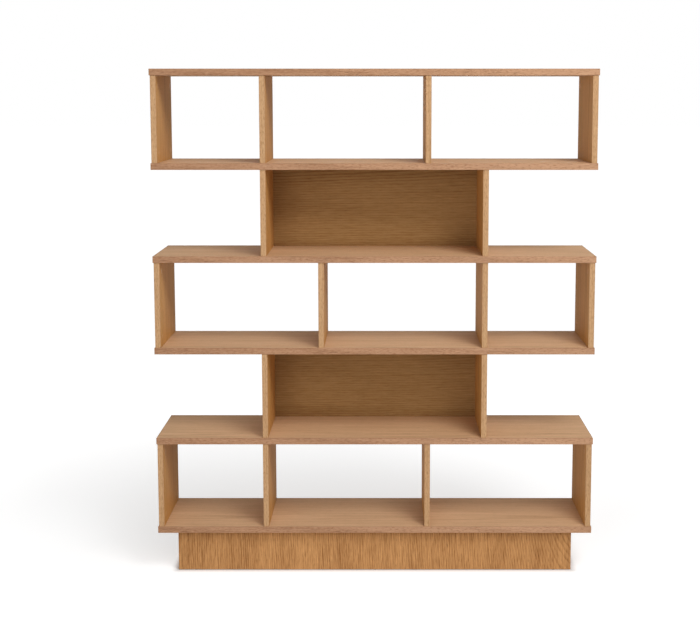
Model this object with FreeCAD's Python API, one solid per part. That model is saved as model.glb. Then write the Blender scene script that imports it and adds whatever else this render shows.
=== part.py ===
import FreeCAD, Part
import os
from collections import namedtuple

# An open oak shelving unit: six full-width shelves stacked on uprights.
# Wide tiers (end uprights and two dividers) alternate with narrow tiers (two uprights and a back panel),
# and the whole stack stands on a plinth that is set in on all sides.
# Millimetres, X to the right, front towards -Y, Z up, origin on the floor under the middle of the unit.

Vector = FreeCAD.Vector

# Boards
unit_width = 1490.0
unit_depth = 340.0
shelf_thickness = 22.0
upright_thickness = 19.0
panel_thickness = 19.0
bay_height = 290.0
edge_reveal = 3.0
narrow_upright_share = 0.25

# Solid oak strips along the open edges of the boards
lipping_thickness = 2.0
arris_radius = 0.8

# Plinth frame with mitred corners
plinth_height = 140.0
plinth_end_inset = 65.0
plinth_front_setback = 30.0
plinth_rear_setback = 30.0
plinth_thickness = 19.0
block_size = 40.0
block_chamfer = 3.0
brace_dowel_shares = (0.3, 0.7)
front_screw_shares = (0.28, 0.25)
side_screw_shares = (0.28, -0.25)

# Floor glides
glide_diameter = 16.0
glide_thickness = 2.0
glide_edge_radius = 0.8
glide_end_inset = 60.0
glide_pin_diameter = 2.5
glide_pin_length = 12.0

# Wooden dowels
dowel_diameter = 8.0
dowel_length = 30.0
dowel_face_depth = 10.0
dowel_chamfer = 1.0
hole_end_clearance = 1.0

# Cam discs, their bolts and their covers
cam_diameter = 15.0
cam_reach = 34.0
cam_slot_clearance = 0.3
cam_socket_diameter = 4.0
cam_socket_depth = 3.0
bolt_bore_diameter = 8.0
bolt_thread_diameter = 5.0
bolt_thread_length = 9.0
bolt_shaft_diameter = 6.0
bolt_neck_diameter = 4.0
bolt_neck_length = 5.0
bolt_head_diameter = 6.4
bolt_head_length = 3.0
cover_diameter = 17.0
cover_thickness = 0.8
cover_edge_radius = 0.3

# Countersunk screws of the plinth blocks
screw_diameter = 4.0
screw_bite = 10.0
screw_head_diameter = 8.0
screw_head_height = 3.0
screw_tip_length = 5.0
screw_recess_width = 1.2
screw_recess_span = 4.4
screw_recess_depth = 1.6

# Places of the fixings, as shares of half the depth of an upright and of half the height of a bay
wide_bolt_share = 0.77
wide_dowel_share = 0.58
narrow_bolt_share = 0.39
narrow_dowel_share = 0.2
panel_bolt_share = 0.66
panel_dowel_share = 0.36

# How far cutting tools run past the face that they enter
overrun = 2.0

# Derived places
half_width = unit_width / 2
half_depth = unit_depth / 2
plinth_top = glide_thickness + plinth_height
level_pitch = shelf_thickness + bay_height
upright_half_depth = half_depth - edge_reveal
end_x = half_width - edge_reveal - upright_thickness / 2
narrow_x = unit_width * narrow_upright_share
halving_x = (end_x - narrow_x) / 2
panel_y = half_depth - edge_reveal - panel_thickness / 2
panel_half_width = narrow_x - upright_thickness / 2
plinth_half_width = half_width - plinth_end_inset
plinth_front_y = plinth_front_setback - half_depth
plinth_rear_y = half_depth - plinth_rear_setback

UP = Vector(0, 0, 1)
DOWN = Vector(0, 0, -1)
RIGHT = Vector(1, 0, 0)
LEFT = Vector(-1, 0, 0)
BACK = Vector(0, 1, 0)
FRONT = Vector(0, -1, 0)

Upright = namedtuple("Upright", "name tier x cam_axis bolt_share dowel_share")
# A joint: a point on the face of the carrying board, the way into the other board, that board's
# visible side that takes the cam, and that board's thickness
Joint = namedtuple("Joint", "point inward cam_axis thickness")

SHELF_NAMES = ("bottom_shelf", "fifth_shelf", "fourth_shelf", "third_shelf", "second_shelf", "top_shelf")
TIER_NAMES = ("bottom_tier", "lower_narrow_tier", "middle_tier", "upper_narrow_tier", "top_tier")
NARROW_TIERS = (1, 3)
MIRRORED_TIERS = (2,)


def shelf_underside(level):
    return plinth_top + level * level_pitch


def tier_floor(tier):
    return shelf_underside(tier) + shelf_thickness


def box_between(a, b):
    low = Vector(min(a.x, b.x), min(a.y, b.y), min(a.z, b.z))
    size = Vector(max(a.x, b.x), max(a.y, b.y), max(a.z, b.z)) - low
    return Part.makeBox(size.x, size.y, size.z, low)


def rod(diameter, start, end):
    along = end - start
    return Part.makeCylinder(diameter / 2, along.Length, start, along)


def outermost_face(solid, way):
    return max(solid.Faces, key=lambda face: face.CenterOfMass.dot(way))


def eased_all_round(strip, normal):
    """A strip with all the corners of its outer face eased."""
    return strip.makeFillet(min(arris_radius, lipping_thickness / 2), outermost_face(strip, normal).Edges)


def eased_along(strip, normal, direction):
    """A strip with only those corners of its outer face eased that run along a direction."""
    edges = []
    for edge in outermost_face(strip, normal).Edges:
        tangent = edge.tangentAt(edge.FirstParameter)
        if abs(tangent.dot(direction)) > tangent.cross(direction).Length:
            edges.append(edge)
    return strip.makeFillet(min(arris_radius, lipping_thickness / 2), edges)


def tier_uprights(tier):
    """The uprights of one tier, with the side of each that takes the cams."""
    label = TIER_NAMES[tier]
    if tier in NARROW_TIERS:
        places = (("left_upright", -narrow_x, LEFT), ("right_upright", narrow_x, RIGHT))
        shares = (narrow_bolt_share, narrow_dowel_share)
    else:
        left_x, right_x = (-halving_x, narrow_x) if tier in MIRRORED_TIERS else (-narrow_x, halving_x)
        places = (
            ("left_end", -end_x, RIGHT),
            ("left_divider", left_x, LEFT),
            ("right_divider", right_x, RIGHT),
            ("right_end", end_x, LEFT),
        )
        shares = (wide_bolt_share, wide_dowel_share)
    return [Upright(f"{label}_{name}", tier, x, axis, *shares) for name, x, axis in places]


UPRIGHTS = [upright for tier in range(len(TIER_NAMES)) for upright in tier_uprights(tier)]


def upright_joints(upright, level, share):
    """A front and a rear joint between an upright and the shelf under it or over it."""
    standing = level == upright.tier
    z = tier_floor(upright.tier) if standing else shelf_underside(level)
    y = upright_half_depth * share
    inward = UP if standing else DOWN
    points = (Vector(upright.x, -y, z), Vector(upright.x, y, z))
    return [Joint(point, inward, upright.cam_axis, upright_thickness) for point in points]


def both_ends(upright, share):
    return upright_joints(upright, upright.tier, share) + upright_joints(upright, upright.tier + 1, share)


def panel_joints(tier, share):
    """Fixings between a back panel and the two uprights beside it."""
    middle = tier_floor(tier) + bay_height / 2
    joints = []
    for side, inward in ((-1, RIGHT), (1, LEFT)):
        for step in (-1, 1):
            point = Vector(side * panel_half_width, panel_y, middle + step * share * bay_height / 2)
            joints.append(Joint(point, inward, BACK, panel_thickness))
    return joints


def brace_joints():
    """Dowels between the middle brace of the plinth and the front and rear boards."""
    joints = []
    for y, inward in ((plinth_front_y + plinth_thickness, BACK), (plinth_rear_y - plinth_thickness, FRONT)):
        for share in brace_dowel_shares:
            point = Vector(0, y, glide_thickness + plinth_height * share)
            joints.append(Joint(point, inward, RIGHT, plinth_thickness))
    return joints


def cam_depth(joint):
    """A cam reaches just past the head of its bolt, which runs at mid thickness."""
    return joint.thickness / 2 + bolt_head_diameter / 2 + cam_slot_clearance


def cam_centre(joint):
    return joint.point + joint.inward * cam_reach


def cam_face(joint):
    """The point over the cam on the visible face of its board."""
    return cam_centre(joint) + joint.cam_axis * (joint.thickness / 2)


def bolt_hole(joint):
    """The threaded hole in the carrying board."""
    bottom = joint.point - joint.inward * bolt_thread_length
    return rod(bolt_thread_diameter, bottom, joint.point + joint.inward * overrun)


def cam_holes(joint):
    """The bolt bore and the cam bore in the other board."""
    bolt_bore = rod(bolt_bore_diameter, joint.point - joint.inward * overrun, cam_centre(joint))
    face = cam_face(joint)
    cam_bore = rod(cam_diameter, face - joint.cam_axis * cam_depth(joint), face + joint.cam_axis * overrun)
    return [bolt_bore, cam_bore]


def dowel_hole_in_face(joint):
    depth = dowel_face_depth + hole_end_clearance
    return rod(dowel_diameter, joint.point - joint.inward * depth, joint.point + joint.inward * overrun)


def dowel_hole_in_end(joint):
    depth = dowel_length - dowel_face_depth + hole_end_clearance
    return rod(dowel_diameter, joint.point - joint.inward * overrun, joint.point + joint.inward * depth)


def dowel(joint):
    start = joint.point - joint.inward * dowel_face_depth
    pin = rod(dowel_diameter, start, start + joint.inward * dowel_length)
    flat_ends = [face for face in pin.Faces if face.Surface.TypeId == "Part::GeomPlane"]
    return pin.makeChamfer(dowel_chamfer, [edge for face in flat_ends for edge in face.Edges])


def cam_bolt(joint):
    head_start = cam_reach - bolt_head_length / 2
    neck_start = head_start - bolt_neck_length
    stretches = (
        (bolt_thread_diameter, -bolt_thread_length, 0),
        (bolt_shaft_diameter, 0, neck_start),
        (bolt_neck_diameter, neck_start, head_start),
        (bolt_head_diameter, head_start, head_start + bolt_head_length),
    )
    pieces = []
    for diameter, start, end in stretches:
        pieces.append(rod(diameter, joint.point + joint.inward * start, joint.point + joint.inward * end))
    return pieces[0].fuse(pieces[1:]).removeSplitter()


def cam_disc(joint):
    """A disc with a socket in its face and a slot that lets the bolt's head in."""
    face = cam_face(joint)
    disc = rod(cam_diameter, face - joint.cam_axis * cam_depth(joint), face)
    socket_bottom = face - joint.cam_axis * cam_socket_depth
    socket = rod(cam_socket_diameter, socket_bottom, face + joint.cam_axis * overrun)
    half_slot = bolt_head_diameter / 2 + cam_slot_clearance
    across = joint.inward.cross(joint.cam_axis) * half_slot
    centre = cam_centre(joint)
    deep = joint.cam_axis * (half_slot + overrun)
    near = centre - joint.inward * (cam_diameter / 2 + overrun) - across - deep
    far = centre + joint.inward * half_slot + across + joint.cam_axis * half_slot
    return disc.cut([socket, box_between(near, far)])


def cam_cover(joint):
    """A thin round cover whose stub plugs into the socket of the cam."""
    face = cam_face(joint)
    lid = rod(cover_diameter, face, face + joint.cam_axis * cover_thickness)
    rim = outermost_face(lid, joint.cam_axis).Edges
    lid = lid.makeFillet(min(cover_edge_radius, cover_thickness / 2), rim)
    stub = rod(cam_socket_diameter, face - joint.cam_axis * cam_socket_depth, face)
    return lid.fuse(stub).removeSplitter()


def shelf_core(level):
    bottom = shelf_underside(level)
    core = box_between(
        Vector(lipping_thickness - half_width, lipping_thickness - half_depth, bottom),
        Vector(half_width - lipping_thickness, half_depth - lipping_thickness, bottom + shelf_thickness),
    )
    tools = []
    for upright in UPRIGHTS:
        if level in (upright.tier, upright.tier + 1):
            for hole, share in ((bolt_hole, upright.bolt_share), (dowel_hole_in_face, upright.dowel_share)):
                tools += [hole(joint) for joint in upright_joints(upright, level, share)]
    if level == 0:
        tools += [screw_body(start, way) for start, way in block_screw_places() if way == UP]
    return core.cut(tools)


def shelf_lipping(level):
    """Front and rear strips run the full width, end strips fit between them."""
    bottom = shelf_underside(level)
    top = bottom + shelf_thickness
    strips = []
    for normal in (FRONT, BACK):
        side = normal.y
        inner, outer = side * (half_depth - lipping_thickness), side * half_depth
        strip = box_between(Vector(-half_width, inner, bottom), Vector(half_width, outer, top))
        strips.append(eased_all_round(strip, normal))
    reach = half_depth - lipping_thickness
    for normal in (LEFT, RIGHT):
        side = normal.x
        inner, outer = side * (half_width - lipping_thickness), side * half_width
        strip = box_between(Vector(inner, -reach, bottom), Vector(outer, reach, top))
        strips.append(eased_along(strip, normal, BACK))
    return Part.makeCompound(strips)


def upright_core(upright):
    floor = tier_floor(upright.tier)
    reach = upright_half_depth - lipping_thickness
    core = box_between(
        Vector(upright.x - upright_thickness / 2, -reach, floor),
        Vector(upright.x + upright_thickness / 2, reach, floor + bay_height),
    )
    tools = [tool for joint in both_ends(upright, upright.bolt_share) for tool in cam_holes(joint)]
    tools += [dowel_hole_in_end(joint) for joint in both_ends(upright, upright.dowel_share)]
    if upright.tier in NARROW_TIERS:
        for hole, share in ((bolt_hole, panel_bolt_share), (dowel_hole_in_face, panel_dowel_share)):
            joints = panel_joints(upright.tier, share)
            tools += [hole(joint) for joint in joints if joint.point.x * upright.x > 0]
    return core.cut(tools)


def tier_lipping(tier):
    """A front and a rear strip on each upright of a tier."""
    floor = tier_floor(tier)
    strips = []
    for upright in tier_uprights(tier):
        for normal in (FRONT, BACK):
            inner = normal.y * (upright_half_depth - lipping_thickness)
            outer = normal.y * upright_half_depth
            strip = box_between(
                Vector(upright.x - upright_thickness / 2, inner, floor),
                Vector(upright.x + upright_thickness / 2, outer, floor + bay_height),
            )
            strips.append(eased_along(strip, normal, UP))
    return Part.makeCompound(strips)


def back_panel(tier):
    floor = tier_floor(tier)
    board = box_between(
        Vector(-panel_half_width, panel_y - panel_thickness / 2, floor),
        Vector(panel_half_width, panel_y + panel_thickness / 2, floor + bay_height),
    )
    tools = [tool for joint in panel_joints(tier, panel_bolt_share) for tool in cam_holes(joint)]
    tools += [dowel_hole_in_end(joint) for joint in panel_joints(tier, panel_dowel_share)]
    return board.cut(tools)


def block_corners():
    """For each plinth corner: the inner corner of the frame and the ways into the frame from there."""
    corners = []
    for x_way in (RIGHT, LEFT):
        for y_way in (BACK, FRONT):
            x = -x_way.x * (plinth_half_width - plinth_thickness)
            y = plinth_front_y + plinth_thickness if y_way == BACK else plinth_rear_y - plinth_thickness
            corners.append((Vector(x, y, plinth_top), x_way, y_way))
    return corners


def block_screw_places():
    """Head points and directions of the three screws in each corner block."""
    places = []
    half = block_size / 2
    for corner, x_way, y_way in block_corners():
        middle = corner + (x_way + y_way + DOWN) * half
        places.append((middle + DOWN * half, UP))
        across, rise = (share * block_size for share in front_screw_shares)
        places.append((middle + y_way * half + x_way * across + UP * rise, y_way * -1))
        across, rise = (share * block_size for share in side_screw_shares)
        places.append((middle + x_way * half + y_way * across + UP * rise, x_way * -1))
    return places


def screw_body(head_point, way):
    """A countersunk screw through a block, from its flush head to its point in the board behind."""
    shank_start = head_point + way * screw_head_height
    tip_start = head_point + way * (block_size + screw_bite - screw_tip_length)
    head = Part.makeCone(screw_head_diameter / 2, screw_diameter / 2, screw_head_height, head_point, way)
    tip = Part.makeCone(screw_diameter / 2, 0, screw_tip_length, tip_start, way)
    return head.fuse([rod(screw_diameter, shank_start, tip_start), tip]).removeSplitter()


def block_screw(head_point, way):
    """A screw with a crossed recess in its head."""
    side = UP if abs(way.z) < abs(way.x) + abs(way.y) else RIGHT
    other = way.cross(side)
    tools = []
    for long_way, short_way in ((side, other), (other, side)):
        corner = long_way * (screw_recess_span / 2) + short_way * (screw_recess_width / 2)
        bottom = head_point + way * screw_recess_depth
        tools.append(box_between(head_point - corner - way * overrun, bottom + corner))
    return screw_body(head_point, way).cut(tools)


def corner_blocks():
    """Square blocks in the plinth's corners, each with its free upright corner taken off."""
    screws = [screw_body(*place) for place in block_screw_places()]
    blocks = []
    for corner, x_way, y_way in block_corners():
        block = box_between(corner, corner + (x_way + y_way + DOWN) * block_size)
        free_edge = max(block.Edges, key=lambda e: e.CenterOfMass.dot(x_way + y_way))
        blocks.append(block.makeChamfer(block_chamfer, [free_edge]).cut(screws))
    return Part.makeCompound(blocks)


def rectangle(half_length, front, rear):
    """Corners in order, from the front left one."""
    return [(-half_length, front), (half_length, front), (half_length, rear), (-half_length, rear)]


def upright_board(corners):
    """A plinth board as high as the plinth over an outline of its corners."""
    points = [Vector(x, y, glide_thickness) for x, y in corners]
    outline = Part.makePolygon(points + points[:1])
    return Part.Face(outline).extrude(UP * plinth_height)


def glide_places():
    places = []
    for y in (plinth_front_y + plinth_thickness / 2, plinth_rear_y - plinth_thickness / 2):
        for x in (glide_end_inset - plinth_half_width, 0, plinth_half_width - glide_end_inset):
            places.append(Vector(x, y, 0))
    return places


def glide_pin(place):
    start = place + UP * glide_thickness
    return rod(glide_pin_diameter, start, start + UP * glide_pin_length)


def floor_glide(place):
    disc = rod(glide_diameter, place, place + UP * glide_thickness)
    disc = disc.makeFillet(min(glide_edge_radius, glide_thickness / 2), outermost_face(disc, DOWN).Edges)
    return disc.fuse(glide_pin(place)).removeSplitter()


def plinth_boards():
    """Front, rear and side boards with mitred corners, and a middle brace between front and rear."""
    inner_front = plinth_front_y + plinth_thickness
    inner_rear = plinth_rear_y - plinth_thickness
    outer = rectangle(plinth_half_width, plinth_front_y, plinth_rear_y)
    inner = rectangle(plinth_half_width - plinth_thickness, inner_front, inner_rear)
    sides = ("plinth_front", "plinth_right_side", "plinth_rear", "plinth_left_side")
    boards = {"plinth_brace": upright_board(rectangle(plinth_thickness / 2, inner_front, inner_rear))}
    for start, name in enumerate(sides):
        end = (start + 1) % len(sides)
        boards[name] = upright_board([outer[start], outer[end], inner[end], inner[start]])
    screws = [screw_body(start, way) for start, way in block_screw_places() if way != UP]
    pins = [glide_pin(place) for place in glide_places()]
    sockets = [dowel_hole_in_face(joint) for joint in brace_joints()]
    for name in ("plinth_front", "plinth_rear"):
        boards[name] = boards[name].cut(screws + pins + sockets)
    for name in ("plinth_left_side", "plinth_right_side"):
        boards[name] = boards[name].cut(screws)
    end_holes = [dowel_hole_in_end(joint) for joint in brace_joints()]
    boards["plinth_brace"] = boards["plinth_brace"].cut(end_holes)
    return boards


def all_cam_joints():
    joints = [joint for upright in UPRIGHTS for joint in both_ends(upright, upright.bolt_share)]
    return joints + [joint for tier in NARROW_TIERS for joint in panel_joints(tier, panel_bolt_share)]


def all_dowel_joints():
    joints = [joint for upright in UPRIGHTS for joint in both_ends(upright, upright.dowel_share)]
    joints += [joint for tier in NARROW_TIERS for joint in panel_joints(tier, panel_dowel_share)]
    return joints + brace_joints()


def all_nodes():
    nodes = {}
    for level, name in enumerate(SHELF_NAMES):
        nodes[name] = shelf_core(level)
        nodes[f"{name}_lipping"] = shelf_lipping(level)
    for upright in UPRIGHTS:
        nodes[upright.name] = upright_core(upright)
    for tier, name in enumerate(TIER_NAMES):
        nodes[f"{name}_lipping"] = tier_lipping(tier)
    for tier in NARROW_TIERS:
        nodes[f"{TIER_NAMES[tier]}_back_panel"] = back_panel(tier)
    nodes.update(plinth_boards())
    nodes["plinth_corner_blocks"] = corner_blocks()
    nodes["plinth_block_screws"] = Part.makeCompound([block_screw(*place) for place in block_screw_places()])
    nodes["floor_glides"] = Part.makeCompound([floor_glide(place) for place in glide_places()])
    for name, piece in (("cam_discs", cam_disc), ("cam_bolts", cam_bolt), ("cam_covers", cam_cover)):
        nodes[name] = Part.makeCompound([piece(joint) for joint in all_cam_joints()])
    nodes["dowels"] = Part.makeCompound([dowel(joint) for joint in all_dowel_joints()])
    return nodes


os.makedirs("parts", exist_ok=True)
for node_name, shape in all_nodes().items():
    print(node_name, len(shape.Solids), "solids", "valid" if shape.isValid() else "not valid")
    shape.exportStep(f"parts/{node_name}.step")
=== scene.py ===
import itertools
import math

import bmesh
import bpy
from mathutils import Color, Euler, Matrix, Vector


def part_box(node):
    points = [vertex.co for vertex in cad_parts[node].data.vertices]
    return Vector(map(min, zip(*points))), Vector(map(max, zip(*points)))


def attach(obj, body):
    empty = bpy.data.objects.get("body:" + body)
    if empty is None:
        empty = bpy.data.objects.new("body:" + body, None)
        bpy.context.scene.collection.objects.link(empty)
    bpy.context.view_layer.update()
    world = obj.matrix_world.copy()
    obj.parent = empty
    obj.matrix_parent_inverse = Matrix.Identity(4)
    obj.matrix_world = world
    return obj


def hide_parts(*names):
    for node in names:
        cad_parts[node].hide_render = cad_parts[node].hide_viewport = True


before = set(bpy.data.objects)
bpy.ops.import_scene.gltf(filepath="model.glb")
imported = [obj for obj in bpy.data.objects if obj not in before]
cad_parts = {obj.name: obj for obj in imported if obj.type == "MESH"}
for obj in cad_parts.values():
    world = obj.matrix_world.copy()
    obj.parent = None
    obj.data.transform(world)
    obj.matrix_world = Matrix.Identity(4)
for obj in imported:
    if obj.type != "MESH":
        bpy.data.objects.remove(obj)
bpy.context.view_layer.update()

# An open oak shelving unit: six full-width shelves, wide and narrow tiers of uprights, and a set-in plinth.
# Metres, X to the right, front towards -Y, Z up.

SHELVES = ("bottom_shelf", "fifth_shelf", "fourth_shelf", "third_shelf", "second_shelf", "top_shelf")
WIDE_TIERS = ("bottom_tier", "middle_tier", "top_tier")
NARROW_TIERS = ("lower_narrow_tier", "upper_narrow_tier")
END_UPRIGHTS = ("left_end", "right_end")
WIDE_UPRIGHTS = ("left_end", "left_divider", "right_divider", "right_end")
NARROW_UPRIGHTS = ("left_upright", "right_upright")
PLINTH_FACES = ("plinth_front", "plinth_rear")
PLINTH_SIDES = ("plinth_left_side", "plinth_right_side")

# Ways to turn a board, so that its own X lies along the grain, Y across it and Z through the board
QUARTER = math.pi / 2
LEVEL_GRAIN_FACE_UP = (0.0, 0.0, 0.0)
LEVEL_GRAIN_FACE_FRONT = (QUARTER, 0.0, 0.0)
LEVEL_GRAIN_FACE_END = (QUARTER, 0.0, QUARTER)
UPRIGHT_GRAIN_FACE_SIDE = (0.0, -QUARTER, 0.0)
UPRIGHT_GRAIN_FACE_FRONT = (QUARTER, -QUARTER, 0.0)
ORIGIN = (0.0, 0.0, 0.0)

# Cover caps of the cams: their size, the steps round them, the gap that is closed at their seam, how far
# they sit from the end of a board, and how far out from its middle as a share of half its depth or height
CAP_RADIUS = 0.0085
CAP_HEIGHT = 0.0008
CAP_STEPS = 24
CAP_SEAM = CAP_HEIGHT / 50
CAM_REACH = 0.034
WIDE_CAP_SHARE = 0.77
NARROW_CAP_SHARE = 0.39
PANEL_CAP_SHARE = 0.66
# Half section of a cap from its dished middle round its rim, as shares of its radius and height
CAP_SECTION = (
    (0.0, 0.74), (0.60, 0.74), (0.68, 1.0), (0.90, 1.0), (0.97, 0.86), (1.0, 0.5), (1.0, 0.0), (0.0, 0.0),
)

# Camera
IMAGE_WIDTH = 700
IMAGE_HEIGHT = 634
SENSOR = 36.0
FOCAL_PIXELS = 1381.1
CENTRE_PIXEL = (383.7, 266.3)
CAMERA_PLACE = (0.031, -4.770, 1.648)
CAMERA_LOOKS_DOWN = math.radians(7.2)

# Soft boxes: degrees to the right of the front and above the floor, distance, width, and light at the unit
SOFT_BOX_TARGET = (0.0, -0.17, 0.85)
SOFT_BOXES = {
    "key_light": {"turn": 32.0, "height": 45.0, "away": 3.6, "width": 1.4, "strength": 1.45},
    "low_left_light": {"turn": -15.0, "height": 10.0, "away": 3.6, "width": 1.4, "strength": 0.65},
}
# Lights far away: degrees to the right of the front and above the floor, softness in degrees, strength,
# and whether they glint on the boards
FAR_LIGHTS = {
    "window_light": {"turn": 20.0, "height": 35.0, "softness": 30.0, "strength": 0.89, "glare": True},
    "rear_light": {"turn": 180.0, "height": 5.0, "softness": 16.0, "strength": 1.2, "glare": False},
}
# Light of the room, from its front half to its back half
ROOM_LIGHT_FRONT = 0.35
ROOM_LIGHT_BACK = 0.12
ROOM_FRONT_ENDS = -0.8
ROOM_BACK_STARTS = 0.5
WHITE = (1.0, 1.0, 1.0, 1.0)

# Floor: its own look, and a white glow mixed in from the plinth outwards, a little at first and wholly far
# away
FLOOR_REACH = 60.0
FLOOR_TONE = 0.95
FLOOR_ROUGHNESS = 0.9
FLOOR_LIFT = 0.33
FLOOR_GLOW_NEAR = 1.78
FLOOR_GLOW_FAR = 1.03
FLOOR_CONTACT = 0.03
FLOOR_FADE_FROM = 0.13
FLOOR_FADE_TO = 3.5

# White on a colour card
CARD_WHITE = 255


def tone(red, green, blue):
    """A colour as a colour card gives it, from 0 to 255, turned into the light values of a shader."""
    card = Color((red / CARD_WHITE, green / CARD_WHITE, blue / CARD_WHITE))
    return (*card.from_srgb_to_scene_linear(), 1.0)


# Oak on each kind of board. Pale and Dark are the colours between and in the growth rings. Pith is how far
# the board lies from the middle of the log, Lean how the log slopes against the board, and the gradient
# after them how much paler the board gets in a metre, which is painted light that makes the end nearer the
# lamps paler. Rings, streaks and flecks are counted in a metre. The last two lines say how strongly each
# part of the
# figure shows: rings, the dark heart of the log, which on the back panels also paints shade along their
# top, painted shade along the lower edge, broad bands, streaks, pale flecks, dark dashes and pores.
OAK = {
    "shelf_face": {
        "Pale": tone(222, 183, 144), "Dark": tone(185, 145, 106), "Pith": 0.10, "Lean": 0.012, "Painted Light Gradient": 0.0,
        "Rings Per Metre": 150.0, "Streaks Per Metre": 9.0,
        "Streaks Across": 230.0, "Flecks Per Metre": 30.0,
        "Rings": 0.3, "Heart And Painted Shade": 0.0, "Painted Lower Shade": 0.0, "Bands": 0.5, "Streaks": 0.8,
        "Flecks": 0.15, "Dashes": 0.0, "Pores": 0.6,
    },
    "shelf_edge": {
        # The front edge gets paler along its length towards its right end: painted light from the lamps on
        # that side
        "Pale": tone(192, 151, 119), "Dark": tone(146, 105, 76), "Pith": 0.06, "Lean": 0.01, "Painted Light Gradient": 0.25,
        "Rings Per Metre": 190.0, "Streaks Per Metre": 16.0,
        "Streaks Across": 260.0, "Flecks Per Metre": 85.0,
        "Rings": 0.2, "Heart And Painted Shade": 0.0, "Painted Lower Shade": 0.0, "Bands": 0.4, "Streaks": 0.8,
        "Flecks": 0.3, "Dashes": 0.75, "Pores": 0.9,
    },
    "upright_face": {
        "Pale": tone(219, 168, 103), "Dark": tone(174, 123, 67), "Pith": 0.10, "Lean": 0.012, "Painted Light Gradient": 0.0,
        "Rings Per Metre": 160.0, "Streaks Per Metre": 7.0,
        "Streaks Across": 220.0, "Flecks Per Metre": 30.0,
        "Rings": 0.35, "Heart And Painted Shade": 0.0, "Painted Lower Shade": 0.0, "Bands": 0.6, "Streaks": 0.8,
        "Flecks": 0.1, "Dashes": 0.0, "Pores": 0.6,
    },
    "upright_edge": {
        "Pale": tone(203, 164, 124), "Dark": tone(158, 119, 80), "Pith": 0.1, "Lean": 0.01, "Painted Light Gradient": 0.0,
        "Rings Per Metre": 170.0, "Streaks Per Metre": 16.0,
        "Streaks Across": 260.0, "Flecks Per Metre": 85.0,
        "Rings": 0.25, "Heart And Painted Shade": 0.0, "Painted Lower Shade": 0.0, "Bands": 0.4, "Streaks": 0.7,
        "Flecks": 0.35, "Dashes": 0.8, "Pores": 0.7,
    },
    "panel_face": {
        # The heart of the log lies along the top of this panel, so besides its figure it paints shade under
        # the shelf above
        "Pale": tone(185, 147, 97), "Dark": tone(137, 100, 59), "Pith": 0.05, "Lean": 0.04, "Painted Light Gradient": 0.0,
        "Rings Per Metre": 120.0, "Streaks Per Metre": 20.0,
        "Streaks Across": 240.0, "Flecks Per Metre": 20.0,
        # Darker along the lower edge: painted shade where the panel meets the shelf below
        "Rings": 0.25, "Heart And Painted Shade": 0.8, "Painted Lower Shade": 0.45, "Bands": 0.25, "Streaks": 0.8,
        "Flecks": 0.15, "Dashes": 0.0, "Pores": 0.6,
    },
    "plinth_face": {
        "Pale": tone(205, 154, 100), "Dark": tone(121, 75, 38), "Pith": 0.11, "Lean": -0.3, "Painted Light Gradient": 0.0,
        "Rings Per Metre": 130.0, "Streaks Per Metre": 15.0,
        "Streaks Across": 200.0, "Flecks Per Metre": 22.0,
        "Rings": 0.28, "Heart And Painted Shade": 0.0, "Painted Lower Shade": 0.0, "Bands": 0.4, "Streaks": 1.0,
        "Flecks": 0.35, "Dashes": 0.0, "Pores": 1.0,
    },
    "cover_cap": {
        "Pale": tone(211, 158, 98), "Dark": tone(187, 136, 79), "Pith": 0.2, "Lean": 0.02, "Painted Light Gradient": 0.0,
        "Rings Per Metre": 150.0, "Streaks Per Metre": 7.0,
        "Streaks Across": 240.0, "Flecks Per Metre": 30.0,
        "Rings": 0.2, "Heart And Painted Shade": 0.0, "Painted Lower Shade": 0.0, "Bands": 0.2, "Streaks": 0.3,
        "Flecks": 0.0, "Dashes": 0.0, "Pores": 0.2,
    },
}

# Leaves of veneer: how far apart along the log each is cut, and how far from its middle across the grain
LEAF_LENGTH = 2.37
SHELF_CUT_FIRST = 0.06
SHELF_CUT_STEP = 0.05
SHELF_EDGE_CUT = 0.03
UPRIGHT_CUT_FIRST = -0.03
UPRIGHT_CUT_STEP = 0.04
UPRIGHT_EDGE_CUT = 0.05
PANEL_CUT = -0.16
PLINTH_FACE_CUT = 0.71
PLINTH_SIDE_CUT = 0.2
CAP_CUT = 0.1

# Rubbed edges of the boards, the lacquer over them, and the relief of the grain
LIPPING_EDGE_TONE = tone(150, 106, 72)
FACE_EDGE_TONE = tone(158, 112, 76)
EDGE_WIDTH = 0.0014
EDGE_AMOUNT = 0.55
LACQUER_SHINE = 0.06
GRAIN_RELIEF = 0.35
GRAIN_DEPTH = 0.0004

# Plain stuffs with a fine speckle: two tones, lumps in a metre, roughness and metal
PLAIN_STUFFS = {
    "particle_board": {
        "pale": tone(206, 178, 138), "dark": tone(160, 124, 84), "lumps": 420.0, "rough": 0.75,
        "metallic": 0.0,
    },
    "planed_softwood": {
        "pale": tone(222, 190, 140), "dark": tone(198, 160, 108), "lumps": 160.0, "rough": 0.6,
        "metallic": 0.0,
    },
    "turned_beech": {
        "pale": tone(222, 184, 142), "dark": tone(200, 158, 114), "lumps": 500.0, "rough": 0.55,
        "metallic": 0.0,
    },
    "cast_zinc": {
        "pale": tone(190, 190, 192), "dark": tone(160, 160, 163), "lumps": 900.0, "rough": 0.4,
        "metallic": 1.0,
    },
    "glide_plastic": {
        "pale": tone(66, 62, 58), "dark": tone(48, 45, 42), "lumps": 1500.0, "rough": 0.55,
        "metallic": 0.0,
    },
    "plated_screw_steel": {
        "pale": tone(206, 204, 198), "dark": tone(178, 175, 168), "lumps": 700.0, "rough": 0.3,
        "metallic": 1.0,
    },
}
# What each plain node is made of
STUFF_OF_NODE = {
    "plinth_brace": "particle_board",
    "plinth_corner_blocks": "planed_softwood",
    "dowels": "turned_beech",
    "cam_discs": "cast_zinc",
    "floor_glides": "glide_plastic",
    "cam_bolts": "plated_screw_steel",
    "plinth_block_screws": "plated_screw_steel",
}
SPECKLE_RELIEF = 0.3
SPECKLE_DEPTH = 0.0002

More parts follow.
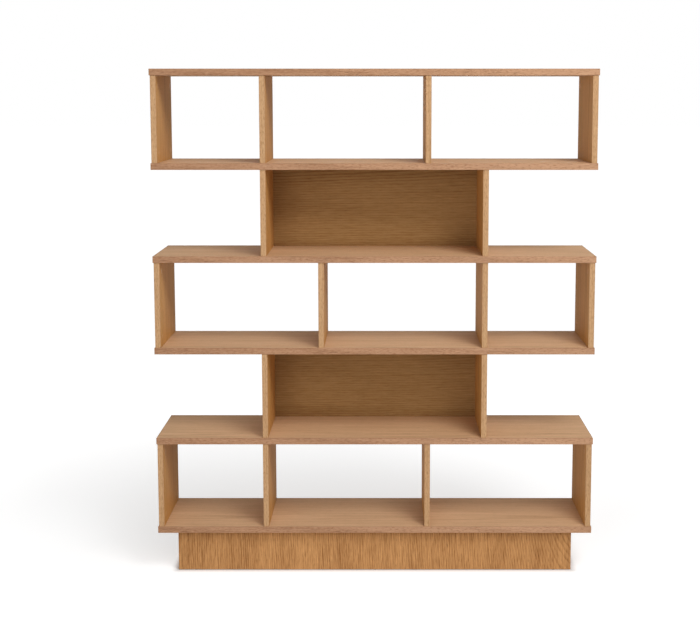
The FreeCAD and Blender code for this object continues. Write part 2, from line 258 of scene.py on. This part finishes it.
# Noises that break up a finish: lumps in a metre along, across and through the grain, and finer detail
NOISE_MIDDLE = 0.5
WANDER = {"lumps": (1.6, 7.0, 7.0), "detail": 2.0}
RIPPLE = {"lumps": (3.0, 70.0, 70.0), "detail": 3.0}
FIBRES = {"detail": 4.0, "roughness": 0.72}
BANDS = {"lumps": (1.1, 45.0, 45.0), "detail": 2.0}
CLOUDS = {"lumps": (2.5, 9.0, 9.0), "detail": 1.0}
FLECKS = {"lumps": (1.0, 300.0, 300.0), "detail": 2.0}
PORES = {"lumps": (55.0, 1250.0, 1250.0)}
RUBBED_PATCHES = {"lumps": (24.0, 60.0, 60.0), "detail": 2.0}
FINE_SPECKS = {"detail": 3.0, "roughness": 0.6}
BROAD_SPECKS = {"lumps": (0.11, 0.11, 0.11), "detail": 2.0}

# Growth rings: how far they wander and ripple, where the dark late wood of a year starts and is full, how
# strong the faintest year is, and the ring and the tone that count as neither pale nor dark
WANDER_REACH = 0.016
RIPPLE_REACH = 0.8
LATE_WOOD_STARTS = 0.30
LATE_WOOD_FULL = 0.86
FAINTEST_YEAR = 0.35
RING_MIDDLE = 0.3
MIDDLE_TONE = 0.5
# Dark heart of the log, which fades between these radii and on the back panels also paints shade along
# their top, and painted shade along the lower edge, which fades between these heights from the middle of a
# board
HEART_INSIDE = 0.05
HEART_OUTSIDE = 0.13
HEART_RINGS = 1.5
HEART_AND_PAINTED_SHADE = 0.5
PAINTED_LOWER_SHADE_FULL = -0.15
PAINTED_LOWER_SHADE_ENDS = -0.085
# How much the noises darken, and where in their range flecks, dashes and pores start and are full
FIBRE_SHADE = 1.5
BAND_SHADE = 1.1
CLOUD_SHADE = 0.4
FLECK_STARTS = 0.50
FLECK_FULL = 0.68
DASH_FULL = 0.30
DASH_STARTS = 0.48
PORE_STARTS = 0.60
PORE_FULL = 0.72
PORE_SHADE = 0.4
PORES_IN_EARLY_WOOD = 0.35
# Roughness and relief of the oak
OAK_ROUGHNESS = 0.62
PORE_ROUGHNESS = 0.16
FIBRE_ROUGHNESS = 0.12
OAK_LEVEL = 0.6
PORE_HOLLOW = 0.6
FIBRE_RELIEF = 0.35
# Rubbed edges: least width and spread of a patch, and how much smoother it is
PATCH_LEAST = 0.4
PATCH_SPREAD = 1.2
RUBBED_SMOOTHER = 0.1
# Speckle: shares of fine and broad specks, where the dark tone starts and is full, and added roughness
FINE_SHARE = 0.7
BROAD_SHARE = 0.3
SPECKLE_STARTS = 0.32
SPECKLE_FULL = 0.68
SPECKLE_ROUGHER = 0.12

# Share of a face's normal that points to the side, above which the face counts as an end
SIDEWAYS = 0.5

# Places of the first, second and mixed sockets of a Mix node, for colours and for vectors
COLOUR_SOCKETS = (6, 7, 2)
VECTOR_SOCKETS = (4, 5, 1)


class Bench:
    """Places nodes in one tree and joins them up."""

    def __init__(self, tree):
        self.tree = tree

    def node(self, kind, **settings):
        made = self.tree.nodes.new(kind)
        for name, value in settings.items():
            setattr(made, name, value)
        return made

    def feed(self, socket, value):
        """Links a socket to another one, or sets it to a value."""
        if isinstance(value, bpy.types.NodeSocket):
            self.tree.links.new(value, socket)
        else:
            socket.default_value = value

    def feed_all(self, made, values):
        """Feeds the first sockets of a node in their order, and gives its first output."""
        for socket, value in zip(made.inputs, values):
            self.feed(socket, value)
        return made.outputs[0]

    def math(self, operation, *values):
        return self.feed_all(self.node("ShaderNodeMath", operation=operation), values)

    def vector_math(self, operation, *values):
        return self.feed_all(self.node("ShaderNodeVectorMath", operation=operation), values)

    def scale(self, vector, factor):
        made = self.node("ShaderNodeVectorMath", operation="SCALE")
        self.feed(made.inputs[0], vector)
        self.feed(made.inputs["Scale"], factor)
        return made.outputs[0]

    def split(self, vector):
        made = self.node("ShaderNodeSeparateXYZ")
        self.feed(made.inputs[0], vector)
        return tuple(made.outputs)

    def gather(self, x, y, z):
        return self.feed_all(self.node("ShaderNodeCombineXYZ"), (x, y, z))

    def distance(self, one_way, other_way):
        """Length of a line that goes so far one way and so far at right angles to it."""
        squares = [self.math("POWER", way, 2.0) for way in (one_way, other_way)]
        return self.math("SQRT", self.math("ADD", *squares))

    def rise(self, value, low, high):
        """0 below low, 1 above high, and smooth between them."""
        made = self.node("ShaderNodeMapRange", interpolation_type="SMOOTHSTEP")
        self.feed(made.inputs["Value"], value)
        self.feed(made.inputs["From Min"], low)
        self.feed(made.inputs["From Max"], high)
        return made.outputs[0]

    def fall(self, value, low, high):
        """1 below low, 0 above high, and smooth between them."""
        return self.math("SUBTRACT", 1.0, self.rise(value, low, high))

    def noise(self, vector, lumps=None, detail=0.0, roughness=0.5):
        """Noise between 0 and 1, with so many lumps in a metre, or on places that are scaled already."""
        made = self.node("ShaderNodeTexNoise")
        if lumps:
            vector = self.vector_math("MULTIPLY", vector, lumps)
        self.feed(made.inputs["Vector"], vector)
        made.inputs["Scale"].default_value = 1.0
        made.inputs["Detail"].default_value = detail
        made.inputs["Roughness"].default_value = roughness
        return made.outputs[0]

    def around_zero(self, noise, amount):
        """Noise moved to lie about zero, and made so many times stronger."""
        return self.math("MULTIPLY", self.math("SUBTRACT", noise, NOISE_MIDDLE), amount)

    def mix(self, kind, sockets, share, first, second):
        made = self.node("ShaderNodeMix", data_type=kind)
        first_socket, second_socket, mixed_socket = sockets
        self.feed(made.inputs["Factor"], share)
        self.feed(made.inputs[first_socket], first)
        self.feed(made.inputs[second_socket], second)
        return made.outputs[mixed_socket]

    def blend(self, share, first, second):
        """A colour between two."""
        return self.mix("RGBA", COLOUR_SOCKETS, share, first, second)

    def choose(self, share, first, second):
        """A place from one of two patterns."""
        return self.mix("VECTOR", VECTOR_SOCKETS, share, first, second)

    def board_place(self, centre, turn):
        """Places on a board, measured from its centre along, across and through the grain."""
        coordinates = self.node("ShaderNodeTexCoord")
        made = self.node("ShaderNodeMapping", vector_type="TEXTURE")
        self.feed(made.inputs["Vector"], coordinates.outputs["Object"])
        made.inputs["Location"].default_value = centre
        made.inputs["Rotation"].default_value = turn
        return made.outputs[0]

    def group(self, tree, values):
        """Places a node group and feeds its named sockets."""
        made = self.node("ShaderNodeGroup", node_tree=tree)
        for name, value in values.items():
            self.feed(made.inputs[name], value)
        return made.outputs


def start_group(name, inputs, outputs):
    """An empty node group with these sockets, and its bench, inlet and outlet."""
    tree = bpy.data.node_groups.new(name, "ShaderNodeTree")
    for label, kind in inputs:
        tree.interface.new_socket(name=label, in_out="INPUT", socket_type="NodeSocket" + kind)
    for label, kind in outputs:
        tree.interface.new_socket(name=label, in_out="OUTPUT", socket_type="NodeSocket" + kind)
    bench = Bench(tree)
    return tree, bench, bench.node("NodeGroupInput").outputs, bench.node("NodeGroupOutput").inputs


def make_oak_figure():
    """Growth rings of a log cut by the board, with fibres, pores, flecks and dashes along the grain."""
    tree, bench, given, result = start_group(
        "oak_figure",
        [
            ("Place", "Vector"), ("Leaf", "Vector"), ("Pale", "Color"), ("Dark", "Color"),
            ("Pith", "Float"), ("Lean", "Float"), ("Painted Light Gradient", "Float"), ("Rings Per Metre", "Float"),
            ("Streaks Per Metre", "Float"), ("Streaks Across", "Float"), ("Flecks Per Metre", "Float"),
            ("Rings", "Float"), ("Heart And Painted Shade", "Float"), ("Painted Lower Shade", "Float"), ("Bands", "Float"),
            ("Streaks", "Float"), ("Flecks", "Float"), ("Dashes", "Float"), ("Pores", "Float"),
        ],
        [("Colour", "Color"), ("Roughness", "Float"), ("Height", "Float")],
    )
    place = bench.vector_math("ADD", given["Place"], given["Leaf"])
    along, across, through = bench.split(place)
    across = bench.math("ADD", across, bench.around_zero(bench.noise(place, **WANDER), WANDER_REACH))
    grain = bench.gather(along, across, through)

    # Growth rings, each year with its own strength
    along_board, across_board = bench.split(given["Place"])[:2]
    pith = bench.math("MULTIPLY_ADD", along_board, given["Lean"], given["Pith"])
    radius = bench.distance(across, bench.math("ADD", pith, through))
    ripple = bench.around_zero(bench.noise(place, **RIPPLE), RIPPLE_REACH)
    count = bench.math("MULTIPLY_ADD", radius, given["Rings Per Metre"], ripple)
    year = bench.node("ShaderNodeTexWhiteNoise", noise_dimensions="1D")
    bench.feed(year.inputs["W"], bench.math("FLOOR", count))
    year_share = bench.math("MULTIPLY_ADD", year.outputs["Value"], 1.0 - FAINTEST_YEAR, FAINTEST_YEAR)
    growth = bench.math("FRACT", count)
    late = bench.rise(growth, LATE_WOOD_STARTS, LATE_WOOD_FULL)
    late = bench.math("SUBTRACT", late, bench.rise(growth, LATE_WOOD_FULL, 1.0))
    ring = bench.math("MULTIPLY", late, year_share)

    # Streaks, bands, rings and heart added up to one darkness, with painted shade along the lower edge and
    # painted light along the board
    fibre_place = bench.gather(
        bench.math("MULTIPLY", along, given["Streaks Per Metre"]),
        bench.math("MULTIPLY", across, given["Streaks Across"]),
        bench.math("MULTIPLY", through, given["Streaks Across"]),
    )
    fibre = bench.noise(fibre_place, **FIBRES)
    dark = bench.around_zero(bench.noise(place, **CLOUDS), CLOUD_SHADE)
    dark = bench.math("MULTIPLY_ADD", bench.around_zero(fibre, FIBRE_SHADE), given["Streaks"], dark)
    band = bench.around_zero(bench.noise(grain, **BANDS), BAND_SHADE)
    dark = bench.math("MULTIPLY_ADD", band, given["Bands"], dark)
    # Heart of the log, darker and with stronger rings; on the back panels it lies along the top, so it also
    # paints shade there
    heart_and_top_shade = bench.math("MULTIPLY", bench.fall(radius, HEART_INSIDE, HEART_OUTSIDE), given["Heart And Painted Shade"])
    stronger = bench.math("MULTIPLY_ADD", heart_and_top_shade, HEART_RINGS, 1.0)
    ring_share = bench.math("MULTIPLY", given["Rings"], stronger)
    dark = bench.math("MULTIPLY_ADD", bench.math("SUBTRACT", ring, RING_MIDDLE), ring_share, dark)
    dark = bench.math("MULTIPLY_ADD", heart_and_top_shade, HEART_AND_PAINTED_SHADE, dark)
    # Painted shade: darker along the lower edge of a board, where a back panel meets the shelf below
    dark = bench.math("MULTIPLY_ADD", bench.fall(across_board, PAINTED_LOWER_SHADE_FULL, PAINTED_LOWER_SHADE_ENDS), given["Painted Lower Shade"], dark)
    # Painted light: the board is made paler along its length, towards the end nearer the lamps
    painted_light = bench.math("MULTIPLY", along_board, given["Painted Light Gradient"])
    dark = bench.math("ADD", bench.math("SUBTRACT", dark, painted_light), MIDDLE_TONE)
    limit = bench.node("ShaderNodeClamp")
    bench.feed(limit.inputs[0], dark)
    colour = bench.blend(limit.outputs[0], given["Pale"], given["Dark"])

    # Pale flecks and dark dashes
    fleck_place = bench.gather(bench.math("MULTIPLY", along, given["Flecks Per Metre"]), across, through)
    lumps = bench.noise(fleck_place, **FLECKS)
    fleck = bench.math("MULTIPLY", bench.rise(lumps, FLECK_STARTS, FLECK_FULL), given["Flecks"])
    colour = bench.blend(fleck, colour, given["Pale"])
    dash = bench.math("MULTIPLY", bench.fall(lumps, DASH_FULL, DASH_STARTS), given["Dashes"])
    colour = bench.blend(dash, colour, given["Dark"])

    # Pores, strongest in the dark part of each year
    pore = bench.rise(bench.noise(grain, **PORES), PORE_STARTS, PORE_FULL)
    pore_share = bench.math("MULTIPLY_ADD", late, 1.0 - PORES_IN_EARLY_WOOD, PORES_IN_EARLY_WOOD)
    pore = bench.math("MULTIPLY", bench.math("MULTIPLY", pore, pore_share), given["Pores"])
    bench.feed(result["Colour"], bench.scale(colour, bench.math("MULTIPLY_ADD", pore, -PORE_SHADE, 1.0)))

    rough = bench.math("MULTIPLY_ADD", pore, PORE_ROUGHNESS, bench.around_zero(fibre, FIBRE_ROUGHNESS))
    bench.feed(result["Roughness"], bench.math("ADD", rough, OAK_ROUGHNESS))
    height = bench.math("MULTIPLY_ADD", pore, -PORE_HOLLOW, bench.around_zero(fibre, FIBRE_RELIEF))
    bench.feed(result["Height"], bench.math("ADD", height, OAK_LEVEL))
    return tree


def make_worn_edges():
    """Rubs the corners of a board: nearest distance to an edge, broken up by a little noise."""
    tree, bench, given, result = start_group(
        "worn_edges",
        [
            ("Place", "Vector"), ("Half Size", "Vector"), ("Colour", "Color"), ("Roughness", "Float"),
            ("Worn", "Color"), ("Width", "Float"), ("Amount", "Float"),
        ],
        [("Colour", "Color"), ("Roughness", "Float")],
    )
    off_centre = bench.vector_math("ABSOLUTE", given["Place"])
    along, across, through = bench.split(bench.vector_math("SUBTRACT", given["Half Size"], off_centre))
    low = bench.math("MINIMUM", along, across)
    high = bench.math("MAXIMUM", along, across)
    to_edge = bench.math("MAXIMUM", low, bench.math("MINIMUM", high, through))
    patch = bench.noise(given["Place"], **RUBBED_PATCHES)
    patch_share = bench.math("MULTIPLY_ADD", patch, PATCH_SPREAD, PATCH_LEAST)
    reach = bench.math("MULTIPLY", given["Width"], patch_share)
    rubbed = bench.math("MULTIPLY", bench.fall(to_edge, 0.0, reach), given["Amount"])
    bench.feed(result["Colour"], bench.blend(rubbed, given["Colour"], given["Worn"]))
    smoother = bench.math("MULTIPLY_ADD", rubbed, -RUBBED_SMOOTHER, given["Roughness"])
    bench.feed(result["Roughness"], smoother)
    return tree


def make_fine_speckle():
    """Fine and broad mottling between two tones, the same in every direction."""
    tree, bench, given, result = start_group(
        "fine_speckle",
        [
            ("Place", "Vector"), ("Pale", "Color"), ("Dark", "Color"), ("Lumps Per Metre", "Float"),
            ("Rough", "Float"),
        ],
        [("Colour", "Color"), ("Roughness", "Float"), ("Height", "Float")],
    )
    scaled = bench.scale(given["Place"], given["Lumps Per Metre"])
    fine = bench.noise(scaled, **FINE_SPECKS)
    broad = bench.math("MULTIPLY", bench.noise(scaled, **BROAD_SPECKS), BROAD_SHARE)
    both = bench.math("MULTIPLY_ADD", fine, FINE_SHARE, broad)
    mottle = bench.rise(both, SPECKLE_STARTS, SPECKLE_FULL)
    bench.feed(result["Colour"], bench.blend(mottle, given["Pale"], given["Dark"]))
    bench.feed(result["Roughness"], bench.math("MULTIPLY_ADD", mottle, SPECKLE_ROUGHER, given["Rough"]))
    bench.feed(result["Height"], fine)
    return tree


OAK_FIGURE = make_oak_figure()
WORN_EDGES = make_worn_edges()
FINE_SPECKLE = make_fine_speckle()


def start_material(name):
    """A new material with a bare shader, and the bench to finish it on."""
    material = bpy.data.materials.new(name)
    material.use_nodes = True
    material.node_tree.nodes.clear()
    bench = Bench(material.node_tree)
    shader = bench.node("ShaderNodeBsdfPrincipled")
    output = bench.node("ShaderNodeOutputMaterial")
    bench.feed(output.inputs["Surface"], shader.outputs[0])
    return material, bench, shader


def coat(bench, shader, finish):
    """Gives the shader the colour and roughness of a finish."""
    bench.feed(shader.inputs["Base Color"], finish["Colour"])
    bench.feed(shader.inputs["Roughness"], finish["Roughness"])


def add_relief(bench, shader, height, strength, depth):
    bump = bench.node("ShaderNodeBump")
    bump.inputs["Strength"].default_value = strength
    bump.inputs["Distance"].default_value = depth
    bench.feed(bump.inputs["Height"], height)
    bench.feed(shader.inputs["Normal"], bump.outputs[0])


def oak(name, finish, leaf, place_of, half_size, worn, edge_place_of=None):
    """Lacquered oak: the figure of one leaf of veneer or one strip, rubbed at its edges."""
    material, bench, shader = start_material(name)
    place = place_of(bench)
    figure = bench.group(OAK_FIGURE, {"Place": place, "Leaf": leaf, **OAK[finish]})
    edge_place = edge_place_of(bench) if edge_place_of else place
    wear = bench.group(WORN_EDGES, {
        "Place": edge_place, "Half Size": half_size, "Colour": figure["Colour"],
        "Roughness": figure["Roughness"], "Worn": worn, "Width": EDGE_WIDTH, "Amount": EDGE_AMOUNT,
    })
    coat(bench, shader, wear)
    add_relief(bench, shader, figure["Height"], GRAIN_RELIEF, GRAIN_DEPTH)
    shader.inputs["Specular IOR Level"].default_value = LACQUER_SHINE
    return material


def speckled(name, pale, dark, lumps, rough, metallic):
    """A plain stuff with fine speckle: particle board, plastic or plated metal."""
    material, bench, shader = start_material(name)
    speckle = bench.group(FINE_SPECKLE, {
        "Place": bench.board_place(ORIGIN, LEVEL_GRAIN_FACE_UP), "Pale": pale, "Dark": dark,
        "Lumps Per Metre": lumps, "Rough": rough,
    })
    coat(bench, shader, speckle)
    add_relief(bench, shader, speckle["Height"], SPECKLE_RELIEF, SPECKLE_DEPTH)
    shader.inputs["Metallic"].default_value = metallic
    return material


def finish_node(node, material):
    """Gives a CAD node its finish."""
    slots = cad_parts[node].data.materials
    slots.clear()
    slots.append(material)


def centre_and_half(node):
    """Middle of a node's box, and its half sizes."""
    low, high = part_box(node)
    return (low + high) / 2, (high - low) / 2


def turned_half(half, turn):
    """Half sizes of a board along, across and through its grain."""
    local = Euler(turn).to_matrix().inverted() @ half
    return tuple(abs(size) for size in local)


leaf_numbers = itertools.count(1)


def next_leaf(across):
    """Each board is cut from its own place in the log."""
    return (next(leaf_numbers) * LEAF_LENGTH, across, 0.0)


def dress_board(node, finish, turn, across):
    """Veneers the faces of one board."""
    centre, half = centre_and_half(node)

    def place_of(bench):
        return bench.board_place(centre, turn)

    leaf = next_leaf(across)
    material = oak(node + "_oak", finish, leaf, place_of, turned_half(half, turn), FACE_EDGE_TONE)
    finish_node(node, material)


def dress_shelf_lipping(node):
    """Front and rear strips have their grain along the shelf, end strips across it."""
    centre, half = centre_and_half(node)

    def place_of(bench):
        front = bench.board_place(centre, LEVEL_GRAIN_FACE_FRONT)
        end = bench.board_place(centre, LEVEL_GRAIN_FACE_END)
        normal = bench.node("ShaderNodeNewGeometry").outputs["Normal"]
        sideways = bench.math("ABSOLUTE", bench.split(normal)[0])
        return bench.choose(bench.math("GREATER_THAN", sideways, SIDEWAYS), front, end)

    def edge_place_of(bench):
        return bench.board_place(centre, LEVEL_GRAIN_FACE_UP)

    leaf = next_leaf(SHELF_EDGE_CUT)
    size = tuple(half)
    material = oak(node + "_oak", "shelf_edge", leaf, place_of, size, LIPPING_EDGE_TONE, edge_place_of)
    finish_node(node, material)


def dress_tier_lipping(node, uprights):
    """Strips on the front and rear edges of all uprights of a tier."""
    centre, half = centre_and_half(node)
    middles = [centre_and_half(name)[0].x for name in uprights]
    half_thickness = centre_and_half(uprights[0])[1].x

    def place_of(bench):
        return bench.board_place(centre, UPRIGHT_GRAIN_FACE_FRONT)

    def edge_place_of(bench):
        x, y, z = bench.split(bench.board_place((0.0, centre.y, centre.z), LEVEL_GRAIN_FACE_UP))
        nearest = None
        for middle in middles:
            off = bench.math("ABSOLUTE", bench.math("SUBTRACT", x, middle))
            nearest = off if nearest is None else bench.math("MINIMUM", nearest, off)
        return bench.gather(nearest, y, z)

    leaf = next_leaf(UPRIGHT_EDGE_CUT)
    size = (half_thickness, half.y, half.z)
    material = oak(node + "_oak", "upright_edge", leaf, place_of, size, LIPPING_EDGE_TONE, edge_place_of)
    finish_node(node, material)


def dress_oak_boards():
    for number, node in enumerate(SHELVES):
        dress_board(node, "shelf_face", LEVEL_GRAIN_FACE_UP, SHELF_CUT_FIRST + SHELF_CUT_STEP * number)
        dress_shelf_lipping(node + "_lipping")
    for tiers, names in ((WIDE_TIERS, WIDE_UPRIGHTS), (NARROW_TIERS, NARROW_UPRIGHTS)):
        for tier in tiers:
            uprights = [tier + "_" + name for name in names]
            for number, node in enumerate(uprights):
                cut = UPRIGHT_CUT_FIRST + UPRIGHT_CUT_STEP * number
                dress_board(node, "upright_face", UPRIGHT_GRAIN_FACE_SIDE, cut)
            dress_tier_lipping(tier + "_lipping", uprights)
    for tier in NARROW_TIERS:
        dress_board(tier + "_back_panel", "panel_face", LEVEL_GRAIN_FACE_FRONT, PANEL_CUT)
    for node in PLINTH_FACES:
        dress_board(node, "plinth_face", UPRIGHT_GRAIN_FACE_FRONT, PLINTH_FACE_CUT)
    for node in PLINTH_SIDES:
        dress_board(node, "plinth_face", UPRIGHT_GRAIN_FACE_SIDE, PLINTH_SIDE_CUT)


def dress_other_nodes():
    stuffs = {name: speckled(name, **values) for name, values in PLAIN_STUFFS.items()}
    for node, stuff in STUFF_OF_NODE.items():
        finish_node(node, stuffs[stuff])


def shape_to_mesh(name, shape):
    mesh = bpy.data.meshes.new(name)
    shape.to_mesh(mesh)
    shape.free()
    return mesh


def put_in_scene(name, contents):
    made = bpy.data.objects.new(name, contents)
    bpy.context.scene.collection.objects.link(made)
    return made


def one_cap():
    """A thin round cover cap, slightly dished, turned about its own Z."""
    shape = bmesh.new()
    points = [shape.verts.new((out * CAP_RADIUS, 0.0, up * CAP_HEIGHT)) for out, up in CAP_SECTION]
    edges = [shape.edges.new(pair) for pair in zip(points, points[1:])]
    bmesh.ops.spin(
        shape, geom=points + edges, cent=(0.0, 0.0, 0.0), axis=(0.0, 0.0, 1.0), dvec=(0.0, 0.0, 0.0),
        angle=2 * math.pi, steps=CAP_STEPS, use_merge=True, use_normal_flip=False, use_duplicate=False,
    )
    bmesh.ops.remove_doubles(shape, verts=shape.verts, dist=CAP_SEAM)
    bmesh.ops.recalc_face_normals(shape, faces=shape.faces)
    return shape


def upright_cap_places(tier, name, share):
    """Four caps on one face of an upright: the side away from the middle, or the inner side of an end."""
    half_depth = centre_and_half(tier + "_lipping")[1].y
    low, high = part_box(tier + "_" + name)
    side = math.copysign(1.0, low.x + high.x)
    if name in END_UPRIGHTS:
        side = -side
    face = high.x if side > 0 else low.x
    places = []
    for y in (-share * half_depth, share * half_depth):
        for z in (low.z + CAM_REACH, high.z - CAM_REACH):
            places.append((Vector((face, y, z)), Vector((side, 0.0, 0.0))))
    return places


def panel_cap_places(tier):
    """Four caps on the rear of a back panel."""
    low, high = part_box(tier + "_back_panel")
    middle = (low.z + high.z) / 2
    rise = PANEL_CAP_SHARE * (high.z - low.z) / 2
    places = []
    for x in (low.x + CAM_REACH, high.x - CAM_REACH):
        for z in (middle - rise, middle + rise):
            places.append((Vector((x, high.y, z)), Vector((0.0, 1.0, 0.0))))
    return places


def cap_places():
    """Where each cap sits and which way it faces."""
    places = []
    for tier, name in itertools.product(WIDE_TIERS, WIDE_UPRIGHTS):
        places += upright_cap_places(tier, name, WIDE_CAP_SHARE)
    for tier, name in itertools.product(NARROW_TIERS, NARROW_UPRIGHTS):
        places += upright_cap_places(tier, name, NARROW_CAP_SHARE)
    for tier in NARROW_TIERS:
        places += panel_cap_places(tier)
    return places


def make_cover_caps():
    """All cover caps as one piece, in a plastic that matches the oak."""
    cap_mesh = shape_to_mesh("one_cover_cap", one_cap())
    all_caps = bmesh.new()
    for place, facing in cap_places():
        before = len(all_caps.verts)
        all_caps.from_mesh(cap_mesh)
        all_caps.verts.ensure_lookup_table()
        turn = Vector((0.0, 0.0, 1.0)).rotation_difference(facing).to_matrix().to_4x4()
        placing = Matrix.Translation(place) @ turn
        bmesh.ops.transform(all_caps, matrix=placing, verts=all_caps.verts[before:])
    bpy.data.meshes.remove(cap_mesh)
    caps = put_in_scene("cover_caps", shape_to_mesh("cover_caps", all_caps))
    material, bench, shader = start_material("cover_cap_plastic")
    place = bench.board_place(ORIGIN, UPRIGHT_GRAIN_FACE_SIDE)
    leaf = next_leaf(CAP_CUT)
    figure = bench.group(OAK_FIGURE, {"Place": place, "Leaf": leaf, **OAK["cover_cap"]})
    coat(bench, shader, figure)
    caps.data.materials.append(material)
    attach(caps, "root")
    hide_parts("cam_covers")


def seen_directly(bench):
    """1 for what the camera sees, also mirrored or through glass, and 0 for light that is thrown on."""
    path = bench.node("ShaderNodeLightPath").outputs
    seen = bench.math("ADD", path["Is Camera Ray"], path["Is Glossy Ray"])
    return bench.math("MINIMUM", bench.math("ADD", seen, path["Is Transmission Ray"]), 1.0)


def away_from_plinth(bench):
    """Distance on the floor from the foot of the unit."""
    x, y = bench.split(bench.board_place(ORIGIN, LEVEL_GRAIN_FACE_UP))[:2]
    half_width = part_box("plinth_front")[1].x
    half_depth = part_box("plinth_rear")[1].y
    past = []
    for place, half in ((x, half_width), (y, half_depth)):
        outside = bench.math("SUBTRACT", bench.math("ABSOLUTE", place), half)
        past.append(bench.math("MAXIMUM", outside, 0.0))
    return bench.distance(*past)


def make_floor():
    """A pale floor that fades to white away from the unit and keeps its shadow."""
    shape = bmesh.new()
    bmesh.ops.create_grid(shape, x_segments=1, y_segments=1, size=FLOOR_REACH)
    floor = put_in_scene("floor", shape_to_mesh("floor", shape))
    material, bench, shader = start_material("pale_floor")
    shader.inputs["Base Color"].default_value = (FLOOR_TONE, FLOOR_TONE, FLOOR_TONE, 1.0)
    shader.inputs["Roughness"].default_value = FLOOR_ROUGHNESS
    shader.inputs["Specular IOR Level"].default_value = 0.0
    away = away_from_plinth(bench)
    near = bench.rise(away, 0.0, FLOOR_CONTACT)
    far = bench.rise(away, FLOOR_FADE_FROM, FLOOR_FADE_TO)
    glow = bench.node("ShaderNodeEmission")
    strength = bench.math("MULTIPLY_ADD", far, FLOOR_GLOW_FAR - FLOOR_GLOW_NEAR, FLOOR_GLOW_NEAR)
    bench.feed(glow.inputs["Strength"], strength)
    share = bench.math("MULTIPLY_ADD", far, 1.0 - FLOOR_LIFT, bench.math("MULTIPLY", near, FLOOR_LIFT))
    share = bench.math("MULTIPLY", seen_directly(bench), share)
    mixed = bench.feed_all(bench.node("ShaderNodeMixShader"), (share, shader.outputs[0], glow.outputs[0]))
    bench.feed(material.node_tree.get_output_node("ALL").inputs["Surface"], mixed)
    floor.data.materials.append(material)


def make_room_light():
    """Even light from all round, stronger from the front, and plain white behind the unit."""
    world = bpy.data.worlds.new("studio")
    bpy.context.scene.world = world
    world.use_nodes = True
    world.node_tree.nodes.clear()
    bench = Bench(world.node_tree)
    backwards = bench.split(bench.node("ShaderNodeTexCoord").outputs["Generated"])[1]
    backness = bench.rise(backwards, ROOM_FRONT_ENDS, ROOM_BACK_STARTS)
    room = bench.node("ShaderNodeBackground")
    strength = bench.math("MULTIPLY_ADD", backness, ROOM_LIGHT_BACK - ROOM_LIGHT_FRONT, ROOM_LIGHT_FRONT)
    bench.feed(room.inputs["Strength"], strength)
    white = bench.node("ShaderNodeBackground")
    for background in (room, white):
        background.inputs["Color"].default_value = WHITE
    shaders = (seen_directly(bench), room.outputs[0], white.outputs[0])
    mixed = bench.feed_all(bench.node("ShaderNodeMixShader"), shaders)
    bench.feed(bench.node("ShaderNodeOutputWorld").inputs["Surface"], mixed)


def lamp_direction(turn, height):
    """The way to a lamp that stands so many degrees to the right of the front and above the floor."""
    level = math.cos(math.radians(height))
    side = math.sin(math.radians(turn)) * level
    front = -math.cos(math.radians(turn)) * level
    return Vector((side, front, math.sin(math.radians(height))))


def place_lamp(name, lamp, direction):
    """Puts a lamp in the scene, turned to shine from this direction."""
    light = put_in_scene(name, lamp)
    light.rotation_euler = direction.to_track_quat("Z", "Y").to_euler()
    return light


def make_soft_box(name, values):
    """A square soft box near the unit."""
    lamp = bpy.data.lights.new(name, "AREA")
    lamp.shape = "SQUARE"
    lamp.size = values["width"]
    lamp.energy = values["strength"] * math.pi * values["away"] ** 2
    direction = lamp_direction(values["turn"], values["height"])
    light = place_lamp(name, lamp, direction)
    light.location = Vector(SOFT_BOX_TARGET) + direction * values["away"]
    light.visible_camera = False


def make_far_light(name, values):
    """A light so far away that its rays run side by side, with or without a glare on the shelves."""
    lamp = bpy.data.lights.new(name, "SUN")
    lamp.energy = values["strength"]
    lamp.angle = math.radians(values["softness"])
    light = place_lamp(name, lamp, lamp_direction(values["turn"], values["height"]))
    light.visible_glossy = values["glare"]


def make_camera():
    """A camera in front of the unit, a little below its top and looking slightly down."""
    lens = bpy.data.cameras.new("camera")
    lens.sensor_width = SENSOR
    lens.lens = SENSOR * FOCAL_PIXELS / IMAGE_WIDTH
    lens.shift_x = (IMAGE_WIDTH / 2 - CENTRE_PIXEL[0]) / IMAGE_WIDTH
    lens.shift_y = (CENTRE_PIXEL[1] - IMAGE_HEIGHT / 2) / IMAGE_WIDTH
    camera = put_in_scene("camera", lens)
    camera.location = CAMERA_PLACE
    camera.rotation_euler = (QUARTER - CAMERA_LOOKS_DOWN, 0.0, 0.0)
    bpy.context.scene.camera = camera


dress_oak_boards()
dress_other_nodes()
make_cover_caps()
make_floor()
make_room_light()
for light_name, light_values in SOFT_BOXES.items():
    make_soft_box(light_name, light_values)
for light_name, light_values in FAR_LIGHTS.items():
    make_far_light(light_name, light_values)
make_camera()
bpy.context.scene.view_settings.view_transform = "Standard"
